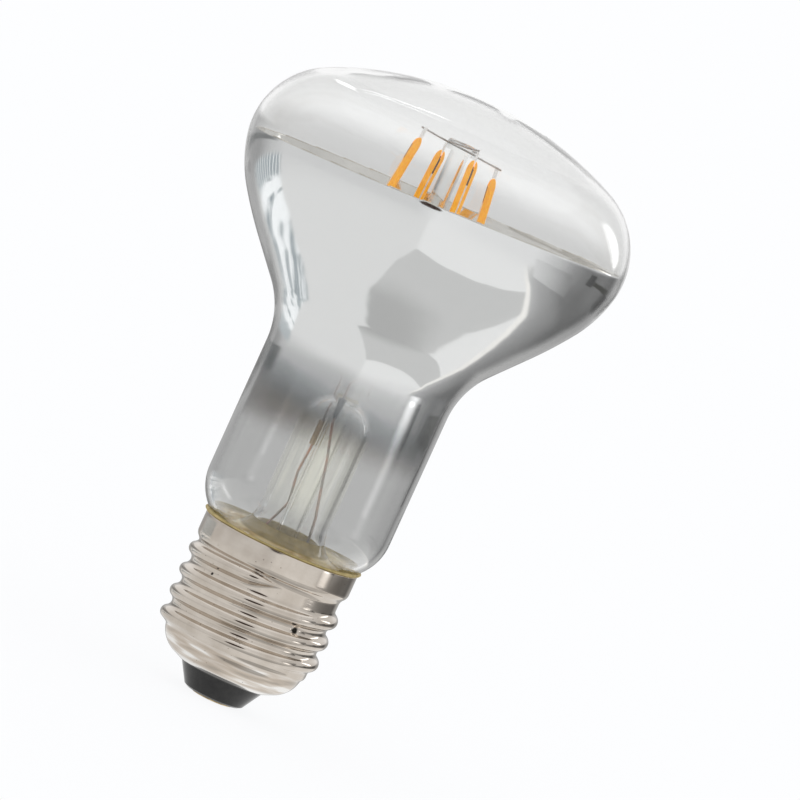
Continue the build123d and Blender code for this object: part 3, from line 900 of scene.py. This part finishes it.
# Below the thread the rounded end carries painted reflections: rings from dark to white that stand in for
# the light it mirrors.
painted_streaks = node(plating_tree, "TexNoise", {"Vector": rolled.outputs[0], "Scale": 900.0, "Detail": 2.0})
painted_dish_reflections = ramp(
    plating_tree,
    painted_streaks.outputs["Fac"],
    ((0.36, nickel_shade), (0.47, nickel_pink), (0.56, nickel_bright), (0.64, nickel_highlight)),
)
dish_reflection_mask = spread(plating_tree, parts.outputs["Z"], thread_foot, thread_foot - dish_reflection_fade)
plate_colour = over(plating_tree, dish_reflection_mask, plate_colour, painted_dish_reflections)
# A painted highlight runs round the lowest edge of the lip, as if it caught the light.
lip_highlight = spread(
    plating_tree,
    parts.outputs["Z"],
    shell_low.z + lip_highlight_top,
    shell_low.z + lip_highlight_full,
)
plate_colour = over(plating_tree, lip_highlight, plate_colour, nickel_highlight)
plate_colour = over(plating_tree, smudges.outputs["Dust"], plate_colour, nickel_stain)
# The punch mark's dark spot is painted shade in place of a deep hole; the second mark is a dark speck on the
# plating.
for mark_angle, mark_height, mark_radius in (
    (punch_angle, punch_height, punch_shade_radius),
    (speck_angle, speck_height, speck_radius),
):
    mark = (root_radius * cos(mark_angle), root_radius * sin(mark_angle), mark_height)
    away = node(plating_tree, "VectorMath", {0: place, 1: mark}, operation="DISTANCE").outputs["Value"]
    dark_mark = spread(plating_tree, away, *(share * mark_radius for share in dark_mark_fade))
    plate_colour = over(plating_tree, dark_mark, plate_colour, punch_shade_and_speck_black)
plate_gloss = spread(plating_tree, clouds.outputs["Fac"], 0.0, 1.0, *plate_roughness)
rolling = node(plating_tree, "Bump", {"Height": lines.outputs["Fac"], "Strength": 0.12, "Distance": 0.00002})
nickel = node(
    plating_tree,
    "BsdfPrincipled",
    {
        "Base Color": plate_colour,
        "Metallic": 1.0,
        "Roughness": plate_gloss,
        "Normal": rolling.outputs["Normal"],
    },
)
finish_material(plating_tree, nickel)
shell.data.materials.append(plating)
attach(shell, "root")
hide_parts("screw_shell")

# Insulator, contact and solder: black glass cast into the shell's lower end round a brass contact
# plate, with solder closing the plate's rivet tube.
glass_black = (0.002, 0.002, 0.0025, 1.0)
glass_dusty = (0.013, 0.0125, 0.012, 1.0)
brass_dull = (0.36, 0.25, 0.11, 1.0)
brass_bright = (0.72, 0.56, 0.30, 1.0)
solder_dull = (0.40, 0.40, 0.41, 1.0)
solder_bright = (0.66, 0.66, 0.67, 1.0)
black_glass = mottled(
    "black_glass",
    glass_black,
    glass_dusty,
    patch_scale=900.0,
    roughness=0.12,
    bump_height=0.00001,
    shine=0.45,
)
dress(black_glass, "cap_insulator")
contact_brass = drawn_wire("contact_brass", brass_dull, brass_bright, patch_scale=500.0, roughness=0.32)
dress(contact_brass, "centre_contact")
solder = drawn_wire("solder", solder_dull, solder_bright, patch_scale=900.0, roughness=0.38)
dress(solder, "contact_solder")

# Cement: a ring of resin cement baked between the neck's foot and the collar, squeezed out over the
# rim as an uneven olive-brown lip.
cement_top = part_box("cap_cement")[1].z
cement_gap = 0.00002
cement_lip_bulge = 0.00047
cement_lump = 0.00022
lump_scale = 700
crumb_scale = 1900
crumb_share = 0.6
cement_segments = 240
cement_front_share = 0.4
cement_side_power = 3
cement_olive = (0.26, 0.20, 0.07, 1.0)
cement_brown = (0.42, 0.33, 0.14, 1.0)
cement_tan = (0.72, 0.55, 0.29, 1.0)
cement_cream = (0.88, 0.77, 0.50, 1.0)
# The cement glows a little: painted light that lifts it where it shows through the glass.
cement_glow = 0.24
lip_fade = 0.0003

rim_top = collar_top + cement_gap
foot_centre = neck_radius - neck_foot_round
bed_round = neck_foot_round + cement_gap
lip_dip = asin((neck_foot_height - cement_top) / bed_round)
seal_dip = acos((seal_radius + cement_gap - foot_centre) / bed_round)
bore_radius = collar_radius - shell_wall - cement_gap
start_line("cement", seal_radius + cement_gap, collar_foot)
run_to(bore_radius, collar_foot, steps=3)
run_to(bore_radius, rim_top, steps=4)
run_to(collar_radius, rim_top, steps=2)
lip_edge = foot_centre + bed_round * cos(lip_dip)
lip_chord = Vector((lip_edge - collar_radius, cement_top - rim_top))
lip_half = lip_chord.length / 2
lip_round = (lip_half**2 + cement_lip_bulge**2) / (2 * cement_lip_bulge)
lip_turn = 2 * degrees(asin(min(1.0, lip_half / lip_round)))
lip_heading = degrees(Vector((1, 0)).angle_signed(lip_chord)) * -1
bend(lip_heading - lip_turn / 2, lip_round, lip_turn, steps=10)
bend(-90.0 - degrees(lip_dip), bed_round, -degrees(seal_dip - lip_dip), steps=12)
run_to(seal_radius + cement_gap, collar_foot, steps=2)
cement = turn_round(cement_segments)
for vertex in cement.data.vertices:
    above = vertex.co.z - rim_top
    if above > 0:
        lump = noise.noise(vertex.co * lump_scale) + crumb_share * noise.noise(vertex.co * crumb_scale)
        outward = Vector((vertex.co.x, vertex.co.y, 0)).normalized()
        share = cement_front_share + (1 - cement_front_share) * abs(outward.x) ** cement_side_power
        vertex.co += outward * cement_lump * lump * share
        vertex.co.z = rim_top + above * share
cement.data.update()

# Some of it is squeezed in under the stem's flare, where it shows through the glass.
coat_gap = 0.0001
coat_wall = 0.0004
coat_inner_radius = 0.0052
coat_round = flare_inner_round + coat_gap
coat_start = degrees(acos((stem_radius + flare_bend_round - coat_inner_radius) / coat_round))
start_line("cement_coat", coat_inner_radius, flare_bend_height - coat_round * sin(radians(coat_start)))
heading = bend(coat_start - 90.0, coat_round, flare_bend_turn - coat_start, steps=12)
coat_radius, coat_height = line_end()
brim = (flare_lip_radius - coat_gap - coat_radius) / cos(radians(heading))
run_to(coat_radius + brim * cos(radians(heading)), coat_height + brim * sin(radians(heading)), steps=4)
coat = turn_round(cement_segments)
bpy.ops.object.mode_set(mode="EDIT")
bpy.ops.mesh.select_all(action="SELECT")
bpy.ops.mesh.flip_normals()
bpy.ops.object.mode_set(mode="OBJECT")
thicken(coat, coat_wall)
bpy.ops.object.select_all(action="DESELECT")
coat.select_set(True)
cement.select_set(True)
bpy.context.view_layer.objects.active = cement
bpy.ops.object.join()

resin, resin_tree, place = start_material("cement")
crumbs = node(resin_tree, "TexNoise", {"Vector": place, "Scale": 700.0, "Detail": 6.0})
smears = node(resin_tree, "TexNoise", {"Vector": place, "Scale": 230.0, "Detail": 5.0, "Distortion": 0.6})
baked = ramp(resin_tree, crumbs.outputs["Fac"], ((0.3, cement_olive), (0.7, cement_brown)))
pale = ramp(
    resin_tree,
    smears.outputs["Fac"],
    ((0.36, cement_brown), (0.5, cement_tan), (0.62, cement_cream)),
)
level = node(resin_tree, "SeparateXYZ", {"Vector": place}).outputs["Z"]
resin_colour = over(resin_tree, spread(resin_tree, level, rim_top - lip_fade, rim_top), pale, baked)
crumbled = node(resin_tree, "Bump", {"Height": crumbs.outputs["Fac"], "Strength": 0.6, "Distance": 0.00006})
resin_body = node(
    resin_tree,
    "BsdfPrincipled",
    {
        "Base Color": resin_colour,
        "Roughness": 0.55,
        "Emission Color": resin_colour,
        "Emission Strength": cement_glow,
        "Normal": crumbled.outputs["Normal"],
    },
)
finish_material(resin_tree, resin_body)
cement.data.materials.append(resin)
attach(cement, "root")
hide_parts("cap_cement")

# Studio: a pale floor inside a light tent. The camera sees it as white with a faint shadow; the
# mirror, glass and plating see the tent's panels, its dark opening on the right and a window.
floor_size = 6.0
floor_white = (0.985, 0.99, 1.0, 1.0)
floor_shadow_share = 0.08
tent_left = (0.815, 0.815, 0.81, 1.0)
tent_right = (0.91, 0.91, 0.905, 1.0)
tent_cloth = (0.655, 0.655, 0.65, 1.0)
tent_cloth_shadowed = (0.50, 0.50, 0.495, 1.0)
tent_seam = (1.02, 1.0, 0.965, 1.0)
window_white = (1.05, 1.07, 1.08, 1.0)
window_grey = (0.40, 0.44, 0.46, 1.0)
tent_back = (0.45, 0.45, 0.445, 1.0)
wall_back = (0.66, 0.66, 0.66, 1.0)
wall_left = (0.23, 0.235, 0.235, 1.0)
wall_right = (0.09, 0.09, 0.085, 1.0)
low_panels = (
    (-180, 0.43), (-166, 0.43), (-152, 0.39), (-134, 0.36), (-118, 0.60), (-104, 0.71), (-60, 0.71),
    (-8, 0.72), (4, 0.90), (30, 0.86), (66, 0.84), (73, 0.72), (81, 0.61), (88, 0.48), (96, 0.34),
    (105, 0.24), (114, 0.20), (128, 0.22), (140, 0.16), (150, 0.32), (164, 0.43), (180, 0.43),
)
middle_edge = ((1.0, 0.0), 0.0, 0.004)
cloth_edges = (((-0.438, 0.899), -0.079), ((0.337, -0.941), 0.0185), ((0.958, 0.287), -0.025))
cloth_softness = 0.0015
cloth_shadow = (0.044, 0.026)
seam_heading = (0.76, 0.65)
seam_distance = 0.076
seam_softness = 0.002
opening_distance = 0.0855
opening_softness = 0.003
opening_depth = 0.2
opening_fall = ((0.0, 0.44), (0.10, 0.34), (0.25, 0.28), (0.40, 0.20), (1.0, 0.14))
opening_sides = (80, 140)
opening_gain = (1.35, 0.8)
right_edges = (((0.20, 0.98), -0.045, 0.03), ((0.94, -0.342), 0.0, 0.02))
back_sides = (138, 152)
near_reach = (0.12, 0.34)
window_sides = (-143, -137, -110, -104)
window_reach = (0.052, 0.064, 0.27, 0.33)
slat_count = 106.0
slat_edges = (0.62, 0.9)
slat_reach = (0.17, 0.20)
blot_edges = (0.40, 0.56)
high_panels = (
    (-180, 1.0), (-140, 0.92), (-60, 0.78), (60, 0.82), (95, 0.70), (140, 0.78), (162, 0.96), (180, 1.0),
)


def between(tree, value, start, end):
    """Ease from 0 at a start value to 1 at an end value."""
    return node(
        tree,
        "MapRange",
        {"Value": value, "From Min": start, "From Max": end},
        interpolation_type="SMOOTHSTEP",
    ).outputs["Result"]


def within(tree, value, limits):
    """1 between the middle two of four limits, easing to 0 at the outer two."""
    start, full, fading, end = limits
    return both(tree, between(tree, value, start, full), between(tree, value, end, fading))


def along(tree, parts, direction):
    """Distance of a floor point along a direction."""
    reach_x = node(tree, "Math", {0: parts.outputs["X"], 1: direction[0]}, operation="MULTIPLY")
    return node(
        tree,
        "Math",
        {0: parts.outputs["Y"], 1: direction[1], 2: reach_x.outputs[0]},
        operation="MULTIPLY_ADD",
    ).outputs[0]


def beyond(tree, parts, direction, distance, softness):
    """1 where a floor point lies further than a distance along a direction, 0 short of it."""
    return between(tree, along(tree, parts, direction), distance - softness, distance + softness)


def azimuth_of(tree, parts):
    """Angle round the axis from the camera's side, positive to the right."""
    back = node(tree, "Math", {0: parts.outputs["Y"], 1: -1.0}, operation="MULTIPLY")
    return node(
        tree,
        "Math",
        {0: parts.outputs["X"], 1: back.outputs[0]},
        operation="ARCTAN2",
    ).outputs[0]


def round_panels(tree, azimuth, panels):
    """Brightness of the tent's panels by their angle round the axis."""
    share = spread(tree, azimuth, -pi, pi)
    return ramp(tree, share, tuple(((degree + 180) / 360, grey) for degree, grey in panels))


bpy.ops.object.select_all(action="DESELECT")
bpy.ops.mesh.primitive_plane_add(size=floor_size)
floor = bpy.context.object
floor.name = "studio_floor"
ground, tree, place = start_material("studio_floor")
parts = node(tree, "SeparateXYZ", {"Vector": place})
reach = node(tree, "VectorMath", {0: place}, operation="LENGTH").outputs["Value"]
azimuth = azimuth_of(tree, parts)
far_floor = round_panels(tree, azimuth, low_panels)
near_floor = over(tree, beyond(tree, parts, *middle_edge), tent_left, tent_right)
cloth = both(
    tree,
    *(beyond(tree, parts, heading, distance, cloth_softness) for heading, distance in cloth_edges),
)
# Close round the bulb the cloth is darker: a painted shadow of the bulb, seen in the mirror and the plating.
cloth_shade = over(tree, between(tree, reach, *cloth_shadow), tent_cloth, tent_cloth_shadowed)
near_floor = over(tree, cloth, near_floor, cloth_shade)
right_side = both(tree, *(beyond(tree, parts, *edge) for edge in right_edges))
seam = both(tree, beyond(tree, parts, seam_heading, seam_distance, seam_softness), right_side)
near_floor = over(tree, seam, near_floor, tent_seam)
opening = both(tree, beyond(tree, parts, seam_heading, opening_distance, opening_softness), right_side)
deepness = spread(
    tree,
    along(tree, parts, seam_heading),
    opening_distance,
    opening_distance + opening_depth,
)
opening_shade = ramp(tree, deepness, opening_fall)
side_shade = spread(tree, azimuth, *(radians(side) for side in opening_sides), *opening_gain)
opening_shade = node(tree, "VectorMath", {0: opening_shade, "Scale": side_shade}, operation="SCALE")
near_floor = over(tree, opening, near_floor, opening_shade.outputs[0])
behind = node(tree, "Math", {0: azimuth}, operation="ABSOLUTE").outputs[0]
rear = between(tree, behind, *(radians(side) for side in back_sides))
near_floor = over(tree, rear, near_floor, tent_back)
tent_floor = over(tree, between(tree, reach, *near_reach), near_floor, far_floor)
far = node(tree, "Math", {0: reach, 1: 2.0}, operation="LOGARITHM").outputs[0]
window = both(
    tree,
    within(tree, azimuth, [radians(side) for side in window_sides]),
    within(tree, reach, window_reach),
)
panes = node(tree, "CombineXYZ", {"X": azimuth, "Y": far})
blots = node(
    tree,
    "TexNoise",
    {"Vector": panes.outputs[0], "Scale": 2.6, "Detail": 2.5, "Roughness": 0.4, "Distortion": 1.0},
)
slats = node(tree, "Math", {0: azimuth, 1: slat_count}, operation="MULTIPLY")
slats = node(tree, "Math", {0: slats.outputs[0]}, operation="SINE").outputs[0]
slats = between(tree, slats, *slat_edges)
blotched = between(tree, blots.outputs["Fac"], *blot_edges)
shutter = node(
    tree,
    "Mix",
    {"Factor": between(tree, reach, *slat_reach), "A": blotched, "B": slats},
).outputs["Result"]
tent_floor = over(tree, window, tent_floor, over(tree, shutter, window_grey, window_white))
seen = node(tree, "LightPath")
paper = node(tree, "BsdfDiffuse", {"Color": floor_white})
backdrop = node(tree, "Emission", {"Color": floor_white, "Strength": 1.0})
seen_floor = node(
    tree,
    "MixShader",
    {"Fac": floor_shadow_share, 1: backdrop.outputs[0], 2: paper.outputs[0]},
)
lit_floor = node(tree, "Emission", {"Color": tent_floor, "Strength": 1.0})
shown = node(
    tree,
    "MixShader",
    {"Fac": seen.outputs["Is Camera Ray"], 1: lit_floor.outputs[0], 2: seen_floor.outputs[0]},
)
finish_material(tree, shown)
floor.data.materials.append(ground)

# The tent's wall carries on from the floor and is evenly lit higher up.
tent_radius = 0.45
tent_height = 0.5
back_panel = (140, 168)
back_rise = (0.03, 0.062)
dado_rise = (0.0155, 0.0195, 0.034, 0.045)
left_panel = (-160, -150, -122, -108)
right_panel = (108, 118, 138, 146)
upper_rise = (0.081, 0.107)
bpy.ops.object.select_all(action="DESELECT")
bpy.ops.mesh.primitive_cylinder_add(
    vertices=128,
    radius=tent_radius,
    depth=tent_height,
    end_fill_type="NOTHING",
    location=(0, 0, tent_height / 2),
)
bpy.ops.object.transform_apply(location=True)
tent = bpy.context.object
tent.name = "tent_wall"
tent.visible_camera = False
tent.visible_shadow = False
tent.visible_diffuse = False
wall, tree, place = start_material("tent_wall")
parts = node(tree, "SeparateXYZ", {"Vector": place})
azimuth = azimuth_of(tree, parts)
rise = parts.outputs["Z"]
wall_light = round_panels(tree, azimuth, low_panels)
behind = node(tree, "Math", {0: azimuth}, operation="ABSOLUTE").outputs[0]
rear = between(tree, behind, *(radians(side) for side in back_panel))
wall_light = over(tree, both(tree, rear, between(tree, rise, *back_rise)), wall_light, wall_back)
dado = within(tree, rise, dado_rise)
for panel, shade in ((left_panel, wall_left), (right_panel, wall_right)):
    side_panel = both(tree, dado, within(tree, azimuth, [radians(side) for side in panel]))
    wall_light = over(tree, side_panel, wall_light, shade)
upper_panels = round_panels(tree, azimuth, high_panels)
wall_light = over(tree, between(tree, rise, *upper_rise), wall_light, upper_panels)
finish_material(tree, node(tree, "Emission", {"Color": wall_light, "Strength": 1.0}))
tent.data.materials.append(wall)

# Cards: flat lights and dark shapes that stand round the bulb inside the tent. The glass, the mirror
# and the plating show them, and the camera doesn't see them itself.
card_distance = 0.4
card_fade = (0.5, 0.36)


def card_glow(name, colour, rounded):
    """Even light of a card, or light that fades out to the edge of a round patch on it."""
    material, tree, place = start_material(name)
    glow = node(tree, "Emission", {"Color": colour, "Strength": 1.0})
    if rounded:
        spot = node(tree, "TexCoord").outputs["UV"]
        off = node(tree, "VectorMath", {0: spot, 1: (0.5, 0.5, 0.0)}, operation="DISTANCE")
        glow = node(
            tree,
            "MixShader",
            {
                "Fac": between(tree, off.outputs["Value"], *card_fade),
                1: node(tree, "BsdfTransparent").outputs[0],
                2: glow.outputs[0],
            },
        )
    finish_material(tree, glow)
    return material


def corner_card(name, corners, material):
    """A flat card with these corners, seen only in reflections and through glass."""
    bpy.ops.object.select_all(action="DESELECT")
    bpy.ops.mesh.primitive_plane_add(size=1.0)
    card = bpy.context.object
    card.name = name
    for vertex, corner in zip(card.data.vertices, corners):
        vertex.co = corner
    card.data.materials.append(material)
    card.visible_camera = False
    card.visible_diffuse = False
    card.visible_shadow = False
    return card


def round_card(name, azimuth, elevation, width, height, turn, colour):
    """A round patch of light or dark that faces the rim's centre from a direction."""
    side, up = radians(azimuth), radians(elevation)
    towards = Vector((sin(side) * cos(up), -cos(side) * cos(up), sin(up)))
    level = Vector((cos(side), sin(side), 0.0))
    rising = level.cross(towards)
    lean = radians(turn)
    along_width = (level * cos(lean) + rising * sin(lean)) * width / 2
    along_height = (rising * cos(lean) - level * sin(lean)) * height / 2
    centre = Vector((0, 0, rim_height)) + towards * card_distance
    corners = [
        centre + along_width * right + along_height * top
        for right, top in ((-1, -1), (1, -1), (-1, 1), (1, 1))
    ]
    return corner_card(name, corners, card_glow(name, colour, True))


# A strip light stands low on the right beside a dark flag, under a hood that hides both from the bowl.
hood_height = 0.0505
hood_inner_radius = 0.088
hood_outer_radius = 0.214
hood_azimuths = (64.0, 94.0)
hood_shift = 7.7
strip_start = (0.193, -0.070)
strip_end = (0.207, 0.004)
strip_heights = (0.0005, 0.0185, 0.032, hood_height)
strip_falls = (
    ((0.0, 0.88), (0.12, 1.08), (0.28, 1.3), (0.50, 1.3), (0.68, 0.75), (0.82, 0.48), (1.0, 0.28)),
    ((0.0, 0.9), (0.15, 1.6), (0.30, 2.6), (0.45, 2.0), (0.60, 0.8), (0.80, 0.2), (1.0, 0.12)),
    (
        (0.0, 1.15), (0.12, 1.45), (0.25, 1.75), (0.40, 1.5),
        (0.54, 1.1), (0.66, 0.5), (0.78, 0.1), (1.0, 0.06),
    ),
)
for level, fall in enumerate(strip_falls, 1):
    panel, tree, place = start_material(f"strip_light_{level}")
    across = node(tree, "SeparateXYZ", {"Vector": node(tree, "TexCoord").outputs["UV"]}).outputs["X"]
    finish_material(tree, node(tree, "Emission", {"Color": ramp(tree, across, fall), "Strength": 1.0}))
    foot, top = strip_heights[level - 1:level + 1]
    corners = [(*strip_start, foot), (*strip_end, foot), (*strip_start, top), (*strip_end, top)]
    corner_card(f"strip_light_{level}", corners, panel)
hood_corners = [
    (radius * sin(radians(azimuth)), -radius * cos(radians(azimuth)), hood_height)
    for radius in (hood_inner_radius, hood_outer_radius)
    for azimuth in hood_azimuths
]
hood, tree, place = start_material("strip_hood")
azimuth = azimuth_of(tree, node(tree, "SeparateXYZ", {"Vector": place}))
azimuth = node(tree, "Math", {0: azimuth, 1: radians(hood_shift)}, operation="ADD").outputs[0]
hood_light = round_panels(tree, azimuth, low_panels)
finish_material(tree, node(tree, "Emission", {"Color": hood_light, "Strength": 1.0}))
corner_card("strip_hood", hood_corners, hood)

# Round lights behind the dome, and the dark shapes that the mirror's edge and the thread pick up.
tube_white = (6.0, 6.0, 6.0, 1.0)
back_white = (2.6, 2.6, 2.6, 1.0)
lens_black = (0.06, 0.042, 0.036, 1.0)
post_grey = (0.10, 0.10, 0.10, 1.0)
post_radius = 0.3
for name, azimuth, elevation, width, height, turn, colour in (
    ("tube_light", -161.0, 47.5, 0.15, 0.008, 25.0, tube_white),
    ("tube_light_side", -150.0, 37.0, 0.008, 0.11, 25.0, tube_white),
    ("back_window", 132.0, 17.0, 0.085, 0.20, 0.0, back_white),
    ("camera_hood", -2.5, -5.2, 0.105, 0.044, 0.0, lens_black),
    ("camera_lens", -2.5, 5.4, 0.24, 0.24, 0.0, lens_black),
):
    card = round_card(name, azimuth, elevation, width, height, turn, colour)
    card.visible_transmission = name != "camera_lens"
for name, azimuths, foot, top in (
    ("dark_post", (110.0, 117.0), 0.03, 0.076),
    ("dark_corner", (136.0, 146.0), 0.012, 0.045),
):
    corners = [
        (post_radius * sin(radians(azimuth)), -post_radius * cos(radians(azimuth)), height)
        for height in (foot, top)
        for azimuth in azimuths
    ]
    corner_card(name, corners, card_glow(name, post_grey, False))

world = bpy.data.worlds.new("studio")
bpy.context.scene.world = world
world.use_nodes = True
world.node_tree.nodes.clear()
sky = node(world.node_tree, "Background", {"Color": floor_white, "Strength": 1.0})
node(world.node_tree, "OutputWorld", {"Surface": sky.outputs[0]})

# Camera: a long lens, turned about a quarter of a right angle so that the bulb leans to the right.
camera_distance = 0.75
camera_height = 0.1038
camera_pitch = 3.75
camera_yaw = 0.5688
camera_roll = 24.5
camera_view = 9.46
lens = bpy.data.cameras.new("studio_camera")
lens.sensor_width = 36.0
lens.angle = radians(camera_view)
lens.clip_start = 0.01
camera = bpy.data.objects.new("studio_camera", lens)
bpy.context.scene.collection.objects.link(camera)
camera.matrix_world = (
    Matrix.Translation((0, -camera_distance, camera_height))
    @ Matrix.Rotation(radians(-camera_yaw), 4, "Z")
    @ Matrix.Rotation(radians(90 - camera_pitch), 4, "X")
    @ Matrix.Rotation(radians(camera_roll), 4, "Z")
)
bpy.context.scene.camera = camera

settings = bpy.context.scene
settings.view_settings.view_transform = "Standard"
settings.cycles.max_bounces = 24
settings.cycles.glossy_bounces = 12
settings.cycles.transmission_bounces = 24
settings.cycles.transparent_max_bounces = 24
